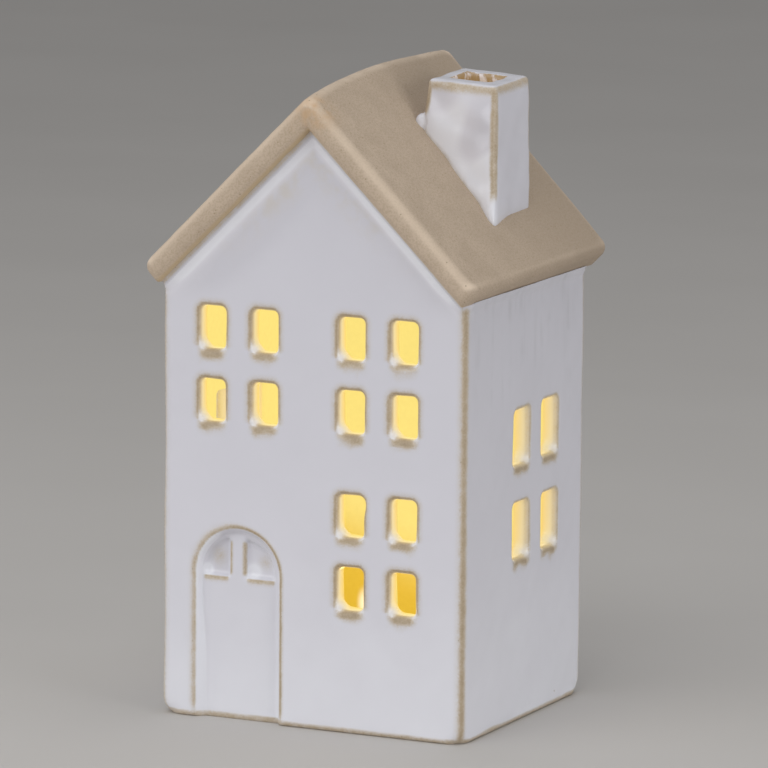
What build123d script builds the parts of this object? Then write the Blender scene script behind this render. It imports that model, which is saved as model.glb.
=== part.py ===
from build123d import *
import math
import os

# A small stoneware light house: a glazed shell with a bare slab roof and a chimney,
# lit from inside by a battery lamp that pushes up through a round hole in its floor.
# Millimetres, +Z up, front towards -Y, origin on the table under the middle of the house.

# House shell
house_width = 90.0
house_depth = 78.0
eave_height = 118.4
roof_pitch = 44.6
wall = 5.0
corner_radius = 2.2
foot_radius = 1.0
foot_depth = 4.0
floor_thickness = 5.0
rim_bevel = 0.9
chamber_radius = 3.0
cut_overrun = 2.0

# Front windows, each of two panes across and two up
pane_width = 7.5
pane_height = 11.6
pane_pitch_across = 15.6
pane_pitch_up = 19.8
pane_radius = 1.5
left_window_x_share = -0.247
right_window_x_share = 0.2125
upper_window_z_share = 0.8218
lower_window_z_share = 0.4165

# Side windows, taller panes
side_pane_width = 9.8
side_pane_height = 15.2
side_pitch_along = 18.5
side_pitch_up = 25.6
side_window_z_share = 0.551
right_wall_y_share = 0.088
left_wall_y_share = -0.026

# Pressed front door with an arched head and two small lights
door_width = 25.7
door_height = 53.2
door_depth = 2.4
door_left_slope = 1.5
door_right_slope = 0.3
door_x_share = -0.245
light_rail = 2.8
light_muntin = 4.4
light_drop = 1.4
light_depth = 1.3
light_draft = 20.0
light_radius = 0.8

# Roof slab, thicker towards the back and with a ridge that swells in the middle
roof_thickness = 6.5
roof_overhang = 4.8
roof_edge_radius = 2.9
ridge_swell = 4.2
station_y_shares = (-1.0, -0.55, 0.0, 0.5, 1.0)
station_thickness_shares = (1.0, 1.05, 1.11, 1.16, 1.2)
station_swell_shares = (0.05, 0.74, 1.0, 0.9, 0.62)

# Hollow-faced fillets of clay that seal the roof to the walls
gable_cove = 3.6
eave_cove = 2.2
cove_rise = 1.4
cove_end = 1.0

# Chimney
chimney_width = 21.0
chimney_depth = 22.6
chimney_foot_spread = 1.4
chimney_x_share = 0.595
chimney_y_share = 0.16
chimney_above_ridge = 1.6
chimney_tilt_back = 1.8
chimney_tilt_right = 2.6
chimney_edge_radius = 1.6
chimney_lip_radius = 1.3
flue_width = 11.4
flue_depth = 11.0
flue_radius = 1.2

# Shared clearances of the lamp
fit_gap = 0.05
run_gap = 0.25
seat_gap = 0.3

# Lamp housing
lamp_hole = 44.0
housing_diameter = 41.0
housing_wall = 1.6
flange_width = 4.5
plate_thickness = 2.0
rim_above_board = 4.2
grip_height = 3.4
grip_groove = 0.8
scallop_radius = 6.0
scallop_reach = 1.6

# Coin cells and their well
cell_diameter = 20.0
cell_thickness = 3.2
cell_edge = 0.3
cell_cap_drop = 0.25
cell_cap_inset = 1.2
cell_play = 0.4
well_wall = 1.4
well_shift = 4.0

# Battery cover, a quarter-turn disc with lugs and a coin slot
cover_diameter = 27.0
cover_flange = 1.0
cover_neck = 21.4
cover_wall = 1.2
lug_count = 3
lug_reach = 1.7
lug_thickness = 1.0
lug_angle = 36.0
notch_angle = 44.0
cover_turn = 60.0
coin_slot_width = 1.8
coin_slot_depth = 0.5
coin_slot_radius = 9.0

# Circuit board and its two screws
board_thickness = 1.2
board_gap = 0.4
board_lift = 1.0
boss_diameter = 4.4
boss_place = 15.6
boss_angle = 56.0
screw_diameter = 2.0
screw_length = 5.0
screw_head = 3.6
screw_head_height = 1.2
cross_width = 0.5
cross_length = 2.0
cross_depth = 0.6

# Light-emitting diode
led_diameter = 5.0
led_collar = 5.8
led_collar_height = 1.0
led_height = 8.6
led_standoff = 1.0
lead_diameter = 0.5
lead_pitch = 2.54
lead_hole = 0.7
lead_tail = 0.7

# Chip resistor
chip_length = 3.2
chip_width = 1.6
chip_height = 0.6
chip_end = 0.5
chip_end_step = 0.08
chip_y_share = 0.5

# Sprung contacts
leaf_thickness = 0.3
leaf_width = 4.0
leaf_pad = 3.0
leaf_reach = 4.6
leaf_curl = 1.4
leaf_inset = 1.6
side_leaf_slot = 0.3
side_leaf_set = 0.7

# Slide switch and its knob
switch_length = 8.6
switch_width = 3.6
switch_height = 3.6
switch_gap = 1.3
switch_travel = 3.0
lever_length = 2.0
lever_width = 1.6
lever_inside = 0.9
lever_outside = 2.6
knob_length = 4.0
knob_width = 2.4
knob_drop = 0.8
knob_rib_count = 3
knob_rib_width = 0.5
knob_rib_depth = 0.3
collar_width = 5.2
collar_length = 11.6
collar_height = 1.0
knob_post_length = 4.4
knob_post_width = 3.2
knob_overlap = 1.6

# Diffuser dome over the diode
dome_wall = 1.2
dome_flange = 1.4
dome_spigot = 2.4
dome_shoulder = 2.2
dome_rise = 6.0

# Worked-out places of the house
half_width = house_width / 2
half_depth = house_depth / 2
gable_apex = eave_height + half_width * math.tan(math.radians(roof_pitch))
floor_top = foot_depth + floor_thickness
ridge_top = gable_apex + roof_thickness / math.cos(math.radians(roof_pitch))
roof_half_length = half_depth + roof_overhang
chimney_x = half_width * chimney_x_share
chimney_y = half_depth * chimney_y_share
chimney_top = ridge_top + chimney_above_ridge

# Worked-out levels and radii of the lamp, from the bottom up
plate_bottom = foot_depth - seat_gap - plate_thickness
plate_top = plate_bottom + plate_thickness
lug_bottom = plate_top + run_gap
cover_top = lug_bottom + lug_thickness
cells_bottom = cover_top + run_gap
cells_top = cells_bottom + 2 * cell_thickness
board_bottom = cells_top + board_lift
board_top = board_bottom + board_thickness
led_bottom = board_top + led_standoff
housing_rim = board_top + rim_above_board
housing_radius = housing_diameter / 2
housing_bore = housing_radius - housing_wall
board_radius = housing_bore - board_gap
grip_middle = foot_depth + floor_thickness / 2
lug_radius = cover_neck / 2 + lug_reach
lug_room = lug_radius + 2 * run_gap
well_bore = cell_diameter / 2 + cell_play
well_x = -well_shift
switch_x = well_x + lug_room + well_wall + switch_gap + collar_width / 2
switch_home = -switch_travel / 2
lever_bottom = board_bottom - switch_height - lever_outside
knob_bottom = plate_bottom - knob_drop


def disc(radius, bottom, top, x=0, y=0):
    """Upright cylinder between two levels."""
    height = top - bottom
    return Pos(x, y, bottom + height / 2) * Cylinder(radius, height)


def block(length_x, length_y, bottom, top, x=0, y=0):
    """Box between two levels, centred in plan."""
    height = top - bottom
    return Pos(x, y, bottom + height / 2) * Box(length_x, length_y, height)


def sector(radius, middle, angle, bottom, top):
    """Pie slice between two levels, centred on an angle."""
    start = middle - angle / 2
    arc = CenterArc((0, 0), radius, start, angle)
    edges = [Line((0, 0), arc @ 0), arc, Line(arc @ 1, (0, 0))]
    return Pos(0, 0, bottom) * extrude(make_face(edges), amount=top - bottom)


def turned(points):
    """Solid of revolution about Z from radius and height pairs."""
    return revolve(make_face(Plane.XZ * Polyline(*points, close=True)), Axis.Z)


def bent_strip(points, shift, width):
    """Sheet-metal strip: a bent line given thickness by a shift, drawn out along Y."""
    far_side = [(x + shift[0], z + shift[1]) for x, z in reversed(points)]
    outline = Polyline(*points, *far_side, close=True)
    return extrude(make_face(Plane.XZ * outline), amount=width / 2, both=True)


# House shell
front = Plane(origin=(0, -half_depth, 0), x_dir=(1, 0, 0), z_dir=(0, -1, 0))
right = Plane(origin=(half_width, 0, 0), x_dir=(0, 1, 0), z_dir=(1, 0, 0))
left = Plane(origin=(-half_width, 0, 0), x_dir=(0, -1, 0), z_dir=(-1, 0, 0))


def window(plane, across, up, width, height, pitch_across, pitch_up):
    """Four pane holes through a wall, two across and two up."""
    pane = RectangleRounded(width, height, pane_radius)
    places = GridLocations(pitch_across, pitch_up, 2, 2)
    panes = Sketch() + [plane * Pos(across, up) * place * pane for place in places]
    return extrude(panes, amount=wall + cut_overrun, both=True)


def front_window(x_share, z_share):
    """Window of the front wall."""
    return window(front, house_width * x_share, eave_height * z_share,
                  pane_width, pane_height, pane_pitch_across, pane_pitch_up)


def side_window(plane, along):
    """Window of a side wall."""
    return window(plane, along, eave_height * side_window_z_share,
                  side_pane_width, side_pane_height, side_pitch_along, side_pitch_up)


def arched(width, top, bottom):
    """Outline with upright sides and a half-round head."""
    half = width / 2
    spring = top - half
    sides = Polyline((-half, spring), (-half, bottom), (half, bottom), (half, spring))
    return Sketch() + make_face([*sides.edges(), CenterArc((0, spring), half, 0, 180)])


def door_press():
    """Tool that presses the door and its two lights into the front wall."""
    door_x = house_width * door_x_share
    panel_face = front.offset(-door_depth)
    spring = door_height - door_width / 2
    opening_width = door_width - 2 * rim_bevel
    panel_width = opening_width - door_left_slope - door_right_slope
    panel_x = door_x + (door_left_slope - door_right_slope) / 2
    stages = ((front, door_x, door_width), (front.offset(-rim_bevel), door_x, opening_width),
              (panel_face, panel_x, panel_width))
    rim, opening, panel = [(plane * Pos(x, 0) * arched(width, spring + width / 2, -cut_overrun)).face()
                          for plane, x, width in stages]
    press = loft([rim, opening]) + loft([opening, panel])
    sill = spring - light_drop
    lights = arched(door_width - 2 * light_rail, door_height - light_rail, sill)
    lights -= Pos(0, door_height / 2) * Rectangle(light_muntin, door_height)
    corners = [v for v in lights.vertices() if abs(v.X) < light_muntin or v.Y < sill + light_drop / 2]
    lights = fillet(corners, light_radius)
    for light in lights.faces():
        press += extrude(panel_face * Pos(door_x, 0) * light, amount=-light_depth, taper=light_draft)
    return press


def soften_rims(shell, axis, end):
    """Bevel the outer rims of the pane holes on one wall, as a wet sponge does."""
    outer_wall = shell.faces().filter_by(axis).sort_by(axis)[end]
    rims = [edge for wire in outer_wall.inner_wires() for edge in wire.edges()]
    return chamfer(rims, rim_bevel)


def cove_section(reach, lean):
    """Hollow-faced fillet in the corner of a wall and of a roof that leans up from level."""
    slope = math.radians(lean)
    tip = (reach * math.cos(slope), reach * math.sin(slope))
    hollow = TangentArc((0, -reach), tip, tangent=(0, 1))
    top = tip[1] + cove_rise
    back = Polyline(tip, (tip[0], top), (-cut_overrun, top), (-cut_overrun, -reach), (0, -reach))
    return make_face([hollow, *back.edges()])


def make_coves():
    """Clay worked into the corners under the roof, along both gables and both eaves."""
    slope = math.radians(roof_pitch)
    uphill = (-math.cos(slope), 0, math.sin(slope))
    across_slope = Plane(origin=(0, -half_depth, gable_apex), x_dir=(0, -1, 0), z_dir=uphill)
    gable_run = half_width - cove_end
    gable = extrude(across_slope * cove_section(gable_cove, 0), amount=house_width, both=True)
    gable &= Pos(gable_run / 2, 0, eave_height) * Box(gable_run, 2 * house_depth, 2 * eave_height)
    across_wall = Plane(origin=(half_width, 0, eave_height), x_dir=(1, 0, 0), z_dir=(0, -1, 0))
    eave = extrude(across_wall * cove_section(eave_cove, 90 - roof_pitch),
                   amount=half_depth - corner_radius, both=True)
    right_side = gable + mirror(gable, Plane.XZ) + eave
    return right_side + mirror(right_side, Plane.YZ)


def make_house_body(slab):
    """Four walls with two gables, a floor with the lamp hole and a standing foot rim."""
    gable = Polyline((-half_width, 0), (half_width, 0), (half_width, eave_height),
                     (0, gable_apex), (-half_width, eave_height), close=True)
    shell = extrude(make_face(Plane.XZ * gable), amount=half_depth, both=True)
    shell = fillet(shell.edges().filter_by(Axis.Z), corner_radius)
    shell = fillet(shell.faces().sort_by(Axis.Z)[0].edges(), foot_radius)
    inside = RectangleRounded(house_width - 2 * wall, house_depth - 2 * wall, chamber_radius)
    shell -= Pos(0, 0, floor_top) * extrude(inside, amount=gable_apex)
    shell -= Pos(0, 0, -cut_overrun) * extrude(inside, amount=foot_depth + cut_overrun)
    shell -= disc(lamp_hole / 2, 0, floor_top + cut_overrun)
    shell -= front_window(left_window_x_share, upper_window_z_share)
    shell -= front_window(right_window_x_share, upper_window_z_share)
    shell -= front_window(right_window_x_share, lower_window_z_share)
    shell -= side_window(right, house_depth * right_wall_y_share)
    shell -= side_window(left, -house_depth * left_wall_y_share)
    shell = soften_rims(shell, Axis.X, 0)
    shell = soften_rims(shell, Axis.X, -1)
    shell = soften_rims(shell, Axis.Y, 0)
    return shell - door_press() + (make_coves() - slab)


# Roof and chimney
def roof_section(y_share, thickness_share, swell_share):
    """Cross-section of the folded slab at one place along the ridge."""
    slope = math.radians(roof_pitch)
    thickness = roof_thickness * thickness_share
    reach = half_width + thickness * math.sin(slope)
    lip = eave_height + thickness * math.cos(slope)
    top = gable_apex + thickness / math.cos(slope) + ridge_swell * swell_share
    outline = Polyline((-half_width, eave_height), (-reach, lip), (0, top), (reach, lip),
                       (half_width, eave_height), (0, gable_apex), close=True)
    plane = Plane(origin=(0, roof_half_length * y_share, 0), x_dir=(1, 0, 0), z_dir=(0, -1, 0))
    return plane * make_face(outline)


def stays_sharp(edge):
    """The slab's underside edges lie on the walls and are not rounded."""
    middle = edge.center()
    runs_along = abs(middle.Y) < half_depth
    on_eave = middle.Z < eave_height + roof_thickness / 2
    under_ridge = abs(middle.X) < wall and middle.Z < gable_apex + roof_thickness / 2
    return runs_along and (on_eave or under_ridge)


def make_roof_slab():
    """Soft clay slab folded over the gables, its ridge swelling towards the back."""
    stations = zip(station_y_shares, station_thickness_shares, station_swell_shares)
    slab = loft([roof_section(*station) for station in stations])
    return fillet([edge for edge in slab.edges() if not stays_sharp(edge)], roof_edge_radius)


def flue(bottom, top):
    """Straight flue from inside the house to the open air."""
    hole = RectangleRounded(flue_width, flue_depth, flue_radius)
    return Pos(chimney_x, chimney_y, bottom) * extrude(hole, amount=top - bottom)


def make_chimney(slab):
    """Square tube that narrows upwards, cut to sit on the slope of the roof."""
    foot = RectangleRounded(chimney_width + chimney_foot_spread, chimney_depth + chimney_foot_spread,
                            chimney_edge_radius)
    head = RectangleRounded(chimney_width, chimney_depth, chimney_edge_radius)
    head_place = Pos(chimney_x, chimney_y, chimney_top) * Rot(chimney_tilt_back, chimney_tilt_right, 0)
    stack = loft([Pos(chimney_x, chimney_y, eave_height) * foot, head_place * head])
    stack = fillet(stack.faces().sort_by(Axis.Z)[-1].edges(), chimney_lip_radius)
    stack -= flue(eave_height - cut_overrun, chimney_top + chimney_width)
    return (stack - slab).solids().sort_by(Axis.Z)[-1]


def make_roof(slab):
    """Roof slab with the flue cut through it."""
    return slab - flue(eave_height - cut_overrun, chimney_top)


# Lamp housing
def make_grip_ring():
    """Soft ring in the housing's groove that grips the hole in the floor."""
    outer = lamp_hole / 2 - fit_gap
    half_height = grip_height / 2
    ring = disc(outer, grip_middle - half_height, grip_middle + half_height)
    ring = fillet(ring.edges(), half_height / 2)
    return ring - disc(housing_radius - grip_groove, 0, housing_rim)


def well_walls():
    """Walls of the cell well, wider at the bottom where the cover's lugs turn."""
    shelf_top = cells_bottom + well_wall
    return Pos(well_x, 0) * turned([
        (lug_room, plate_top), (lug_room, cells_bottom), (well_bore, cells_bottom), (well_bore, board_bottom),
        (well_bore + well_wall, board_bottom), (well_bore + well_wall, shelf_top),
        (lug_room + well_wall, shelf_top), (lug_room + well_wall, plate_top)])


def cover_opening():
    """Stepped hole for the battery cover, with a notch for each lug to pass."""
    ledge_bottom = plate_bottom + cover_flange + run_gap
    hole = disc(cover_diameter / 2 + run_gap, plate_bottom - cut_overrun, ledge_bottom)
    hole += disc(cover_neck / 2 + run_gap, plate_bottom, plate_top)
    for index in range(lug_count):
        middle = cover_turn + index * 360 / lug_count
        hole += sector(lug_radius + run_gap, middle, notch_angle, plate_bottom, plate_top)
    return Pos(well_x, 0) * hole


def boss_places():
    """Middles of the two screw bosses in plan."""
    angle = math.radians(boss_angle)
    return [(boss_place * math.cos(angle), side * boss_place * math.sin(angle)) for side in (-1, 1)]


def make_lamp_housing():
    """Moulded cup with a flange below, a cell well, two bosses and a slot for the knob."""
    flange_radius = lamp_hole / 2 + flange_width
    groove_bottom = grip_middle - grip_height / 2
    cup = turned([(0, plate_bottom), (flange_radius, plate_bottom), (flange_radius, plate_top),
                  (housing_radius, plate_top), (housing_radius, groove_bottom),
                  (housing_radius - grip_groove, groove_bottom),
                  (housing_radius - grip_groove, groove_bottom + grip_height),
                  (housing_radius, groove_bottom + grip_height), (housing_radius, housing_rim),
                  (housing_bore, housing_rim), (housing_bore, plate_top), (0, plate_top)])
    for side in (-1, 1):
        cup -= disc(scallop_radius, plate_bottom - cut_overrun, plate_top + cut_overrun,
                    y=side * (flange_radius + scallop_radius - scallop_reach))
    cup += well_walls()
    for x, y in boss_places():
        cup += disc(boss_diameter / 2, plate_top, board_bottom, x, y)
        cup -= disc(screw_diameter / 2, board_top - screw_length, board_top, x, y)
    cup -= cover_opening()
    slot_length = knob_length + switch_travel + 2 * run_gap
    cup -= block(knob_width + 2 * run_gap, slot_length, plate_bottom - cut_overrun, plate_top, switch_x)
    groove_x = well_x - well_bore
    cup -= block(2 * (side_leaf_slot + leaf_thickness), leaf_width + 2 * run_gap,
                 cells_bottom, board_bottom, groove_x)
    return cup


def make_diffuser_dome():
    """Milky cap that plugs into the housing's rim and arches over the diode."""
    spigot = housing_bore - fit_gap
    bore = spigot - dome_wall
    seat = housing_rim + dome_flange
    crown = seat + dome_rise
    outer_foot = housing_radius - dome_shoulder
    outer_arc = TangentArc((0, crown), (outer_foot, seat), tangent=(1, 0))
    inner_arc = TangentArc((0, crown - dome_wall), (bore, seat - dome_flange / 2), tangent=(1, 0))
    step = Polyline((outer_foot, seat), (housing_radius, seat), (housing_radius, housing_rim),
                    (spigot, housing_rim), (spigot, housing_rim - dome_spigot),
                    (bore, housing_rim - dome_spigot), (bore, seat - dome_flange / 2))
    axis_edge = Line((0, crown - dome_wall), (0, crown))
    profile = make_face([outer_arc, *step.edges(), inner_arc, axis_edge])
    return revolve(Plane.XZ * profile, Axis.Z)


# Battery cover and cells
def make_battery_cover():
    """Coin-slot disc whose lugs turn over the ledge of the housing."""
    flange_top = plate_bottom + cover_flange
    neck_radius = cover_neck / 2
    cover = disc(cover_diameter / 2, plate_bottom, flange_top)
    cover = chamfer(cover.edges().sort_by(Axis.Z)[0], cover_flange / 4)
    cover += disc(neck_radius, flange_top, cover_top)
    for index in range(lug_count):
        cover += sector(lug_radius, index * 360 / lug_count, lug_angle, lug_bottom, cover_top)
    cover -= disc(neck_radius - cover_wall, flange_top + cover_wall / 2, cover_top)
    coin = Rot(0, 0, cover_turn / 2) * block(2 * coin_slot_radius, coin_slot_width,
                                             plate_bottom - cut_overrun, plate_bottom + coin_slot_depth)
    return Pos(well_x, 0) * (cover - coin)


def make_cell(bottom):
    """Coin cell: a can with bevelled edges and a smaller cap on its upper face."""
    top = bottom + cell_thickness
    can = disc(cell_diameter / 2, bottom, top - cell_cap_drop)
    can = chamfer(can.edges(), cell_edge)
    cap = disc(cell_diameter / 2 - cell_cap_inset, bottom + cell_thickness / 2, top)
    return Pos(well_x, 0) * (can + cap)


def make_contact_leaf():
    """Negative contact: a leaf under the board that bears on the upper cell's cap."""
    start = well_x - well_bore + leaf_inset
    bend = start + leaf_pad
    touch = bend + leaf_reach
    low = cells_top
    high = board_bottom - leaf_thickness
    points = [(start, high), (bend, high), (touch, low), (touch + leaf_curl, (low + high) / 2)]
    return bent_strip(points, (0, leaf_thickness), leaf_width)


def make_contact_side():
    """Positive contact: a leaf in the well's groove, bowed in to the lower cell's rim."""
    back = well_x - well_bore - side_leaf_slot
    bow = well_x - cell_diameter / 2 - leaf_thickness
    points = [(back, board_bottom), (back, cells_top - cell_thickness + side_leaf_set),
              (bow, cells_bottom + cell_thickness / 2), (back, cells_bottom + side_leaf_set)]
    return bent_strip(points, (leaf_thickness, 0), leaf_width)


# Circuit board and what it carries
def make_circuit_board():
    """Round board on the well and bosses, drilled for the screws and the diode."""
    board = disc(board_radius, board_bottom, board_top)
    for x, y in boss_places():
        board -= disc(screw_diameter / 2 + fit_gap, board_bottom, board_top, x, y)
    for side in (-1, 1):
        board -= disc(lead_hole / 2, board_bottom, board_top, side * lead_pitch / 2)
    return board


def make_board_screw(x, y):
    """Pan-head screw with a cross recess."""
    head_top = board_top + screw_head_height
    screw = disc(screw_head / 2, board_top, head_top)
    screw = fillet(screw.edges().sort_by(Axis.Z)[-1], screw_head_height / 2)
    screw += disc(screw_diameter / 2, board_top - screw_length, board_top)
    for length_x, length_y in ((cross_length, cross_width), (cross_width, cross_length)):
        screw -= block(length_x, length_y, head_top - cross_depth, head_top + cut_overrun)
    return Pos(x, y) * screw


def make_led():
    """Domed diode with a collar and a flat on one side."""
    radius = led_diameter / 2
    shoulder = led_bottom + led_height - radius
    lens = disc(led_collar / 2, led_bottom, led_bottom + led_collar_height)
    lens -= block(led_diameter, led_collar, led_bottom, led_bottom + led_collar_height,
                  x=led_diameter)
    return lens + disc(radius, led_bottom, shoulder) + Pos(0, 0, shoulder) * Sphere(radius)


def make_led_lead(side):
    """Straight wire from the diode through the board."""
    return disc(lead_diameter / 2, board_bottom - lead_tail, led_bottom, side * lead_pitch / 2)


def make_resistor():
    """Chip resistor with a raised metal cap at each end."""
    chip = block(chip_width, chip_length, board_top, board_top + chip_height)
    for side in (-1, 1):
        chip += block(chip_width + 2 * chip_end_step, chip_end, board_top,
                      board_top + chip_height + chip_end_step, y=side * (chip_length - chip_end) / 2)
    return Pos(-board_radius * chip_y_share, board_radius * chip_y_share) * chip


# Slide switch
def make_switch_body():
    """Switch case under the board, slotted for its lever."""
    bottom = board_bottom - switch_height
    case = block(switch_width, switch_length, bottom, board_bottom, switch_x)
    slot_width = lever_width + 2 * run_gap
    slot_length = lever_length + switch_travel + 2 * run_gap
    return case - block(slot_width, slot_length, bottom, bottom + lever_inside + run_gap, switch_x)


def make_switch_lever():
    """Lever of the switch, held in the knob."""
    bottom = board_bottom - switch_height
    return block(lever_width, lever_length, lever_bottom, bottom + lever_inside, switch_x, switch_home)


def make_switch_knob():
    """Ribbed knob through the plate, with a collar inside and a post round the lever."""
    collar_bottom = plate_top + run_gap
    post_top = lever_bottom + knob_overlap
    knob = block(knob_width, knob_length, knob_bottom, collar_bottom)
    for index in range(knob_rib_count):
        y = (index - (knob_rib_count - 1) / 2) * knob_length / knob_rib_count
        knob -= block(knob_width, knob_rib_width, knob_bottom, knob_bottom + knob_rib_depth, y=y)
    knob += block(collar_width, collar_length, collar_bottom, collar_bottom + collar_height)
    knob += block(knob_post_width, knob_post_length, collar_bottom + collar_height, post_top)
    knob -= block(lever_width, lever_length, lever_bottom, post_top)
    return Pos(switch_x, switch_home) * knob


roof_slab = make_roof_slab()
screw_places = boss_places()
nodes = {
    "house_body": make_house_body(roof_slab),
    "roof": make_roof(roof_slab),
    "chimney": make_chimney(roof_slab),
    "grip_ring": make_grip_ring(),
    "lamp_housing": make_lamp_housing(),
    "diffuser_dome": make_diffuser_dome(),
    "battery_cover": make_battery_cover(),
    "cell_lower": make_cell(cells_bottom),
    "cell_upper": make_cell(cells_bottom + cell_thickness),
    "contact_leaf": make_contact_leaf(),
    "contact_side": make_contact_side(),
    "circuit_board": make_circuit_board(),
    "board_screw_front": make_board_screw(*screw_places[0]),
    "board_screw_back": make_board_screw(*screw_places[1]),
    "led": make_led(),
    "led_lead_left": make_led_lead(-1),
    "led_lead_right": make_led_lead(1),
    "resistor": make_resistor(),
    "switch_body": make_switch_body(),
    "switch_lever": make_switch_lever(),
    "switch_knob": make_switch_knob(),
}

os.makedirs("parts", exist_ok=True)
for name, solid in nodes.items():
    export_step(solid, f"parts/{name}.step")
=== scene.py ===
import math

import bmesh
import bpy
import numpy as np
from mathutils import Matrix, Vector


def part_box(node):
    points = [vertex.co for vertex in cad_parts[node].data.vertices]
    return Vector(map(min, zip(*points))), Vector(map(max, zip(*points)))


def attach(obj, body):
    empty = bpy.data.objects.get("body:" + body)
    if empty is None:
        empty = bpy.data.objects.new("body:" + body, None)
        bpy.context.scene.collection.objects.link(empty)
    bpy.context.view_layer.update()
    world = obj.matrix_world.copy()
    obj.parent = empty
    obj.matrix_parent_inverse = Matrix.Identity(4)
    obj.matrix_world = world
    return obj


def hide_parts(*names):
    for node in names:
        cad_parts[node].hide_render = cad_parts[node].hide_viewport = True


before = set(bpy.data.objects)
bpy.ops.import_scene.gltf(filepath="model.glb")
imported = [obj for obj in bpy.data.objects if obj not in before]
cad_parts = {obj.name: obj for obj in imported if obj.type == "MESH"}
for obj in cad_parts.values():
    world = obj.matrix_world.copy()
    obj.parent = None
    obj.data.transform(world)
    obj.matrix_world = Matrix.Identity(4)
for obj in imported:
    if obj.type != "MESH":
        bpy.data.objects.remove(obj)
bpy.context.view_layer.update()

# Lengths are in millimetres, and mm turns them into Blender's metres
mm = 0.001

# House, as in the CAD model
half_width = 45.0
half_depth = 39.0
gable_apex = 162.8
roof_pitch = math.radians(44.6)
wall = 5.0
floor_top = 9.0
eave_height = 118.4

# Walls and chimney reach this far into the roof, which closes the seams
seam_overlap = 0.8

# How far off a CAD face a remeshed point may lie and still count as on it
face_slack = 0.4
flue_slack = 0.35
wall_slack = 1.0

# Uneven faces, as layers of waves: height, length and seed
house_waves = ((0.12, 26.0, 1), (0.02, 7.0, 2))
roof_waves = ((0.12, 40.0, 11), (0.03, 9.0, 12), (0.015, 3.0, 13))

# Panes: width, height, pitch across and pitch up. Windows: wall, place along it, height and panes
pane_radius = 1.5
front_panes = (7.5, 11.6, 15.6, 19.8)
side_panes = (9.8, 15.2, 18.5, 25.6)
windows = (
    ("front", -22.23, 97.30, front_panes),
    ("front", 19.13, 97.30, front_panes),
    ("front", 19.13, 49.31, front_panes),
    ("right", 6.86, 65.24, side_panes),
    ("left", -2.03, 65.24, side_panes),
)

# Door and its two lights
door_x = -22.05
door_half = 12.85
door_spring = 40.35
light_half = 10.05
light_sill = 38.95
muntin_half = 2.2
lights_shift = 1.1

# Glaze in a lower corner of each pane, one pane's wavy edge, burr that narrows the left wall's panes,
# and rounding of the foot's corners
fill_radius = 3.4
wavy_edge = (15.1, -36.5, 62.4)
wavy_spread = (1.6, 4.0, 2.4)
wavy_reach = 0.6
burr_reach = 1.6
foot_rounding = 1.5
foot_radius = 5.0

# Chimney and its flue
chimney_middle = (26.78, 6.24)
chimney_half = (11.0, 11.8)
flue_half = (5.7, 5.5)
toe_reach = (1.2, -3.2, -1.2)
bead_offset = (-0.5, 1.4, 3.9)
bead_radii = (1.6, 1.6, 2.3)
stack_lean = 0.5
lump_place = (29.5, -5.6, 146.5)
lump_reach = (6.5, 6.0, 6.5)
lump_height = 1.2

# Patch of light that the lamp throws on the back wall
lens_patch = (-18.9, 34.0, 19.5)
patch_stretch = (1.0, 1.0, 0.5)
patch_radius = 3.0

# Heights between which the light changes: from low to bright, and in the flue from cool to warm
chamber_glow = (20.0, 43.0)
flue_glow = (168.0, 140.0)
dome_glow = (17.0, 25.4)

# Ceramic meshes: size of their quads, passes that round them, and the most triangles in the shell
house_voxel = 0.55
roof_voxel = 0.63
chimney_voxel = 0.36
slab_passes = 5
chimney_passes = 16
shell_triangles = 185000

# Camera, at the photograph's angle
camera_lens = 328.125
camera_aim = (2.559, 0.0, 88.578)
camera_distance = 1900.8
camera_azimuth = math.radians(25.464)
camera_elevation = math.radians(9.817)
camera_roll = math.radians(0.512)
camera_sensor = 36.0
camera_clip = (0.1, 50.0)

# Soft boxes: place in metres, edge in metres and power in watts
soft_boxes = {
    "left": ((-0.80, -0.46, 0.30), 0.5, 1.2),
    "front": ((-0.45, -0.85, 0.38), 0.5, 1.8),
    "right": ((0.85, -0.31, 0.25), 0.5, 2.05),
    "high": ((0.10, -0.75, 1.00), 0.6, 2.2),
    "top": ((0.10, 0.10, 1.30), 0.8, 2.4),
}
surround_strength = 0.3
surround_colour = (1.0, 1.0, 1.0, 1)
floor_reach = 8000.0

# Colours, linear: glaze
# The pool tone is pooled glaze that also serves as a painted highlight, and the shade tone is painted shade
glaze_pool_highlight = (0.915, 0.925, 0.990, 1)
glaze_white = (0.790, 0.785, 0.855, 1)
glaze_shade = (0.675, 0.670, 0.735, 1)
glaze_thin = (0.66, 0.60, 0.50, 1)
glaze_run = (0.56, 0.56, 0.60, 1)
# Painted lamp light: the warm colour of the panes' lit reveals
glaze_lamplit = (0.66, 0.58, 0.42, 1)

# Clay
clay_tan = (0.58, 0.475, 0.335, 1)
clay_brown = (0.37, 0.28, 0.185, 1)
clay_roof = (0.60, 0.485, 0.375, 1)
clay_dark = (0.53, 0.425, 0.325, 1)
# Painted shade: the roof's clay darker towards the back
clay_back_shade = (0.46, 0.37, 0.285, 1)
# Pale edges from wear, which also carry a painted highlight
clay_worn_highlight = (0.86, 0.71, 0.56, 1)
clay_rust = (0.62, 0.40, 0.22, 1)
clay_gold = (0.60, 0.45, 0.25, 1)
chamber_clay = (0.34, 0.25, 0.12, 1)
chamber_dark = (0.31, 0.22, 0.10, 1)

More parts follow.
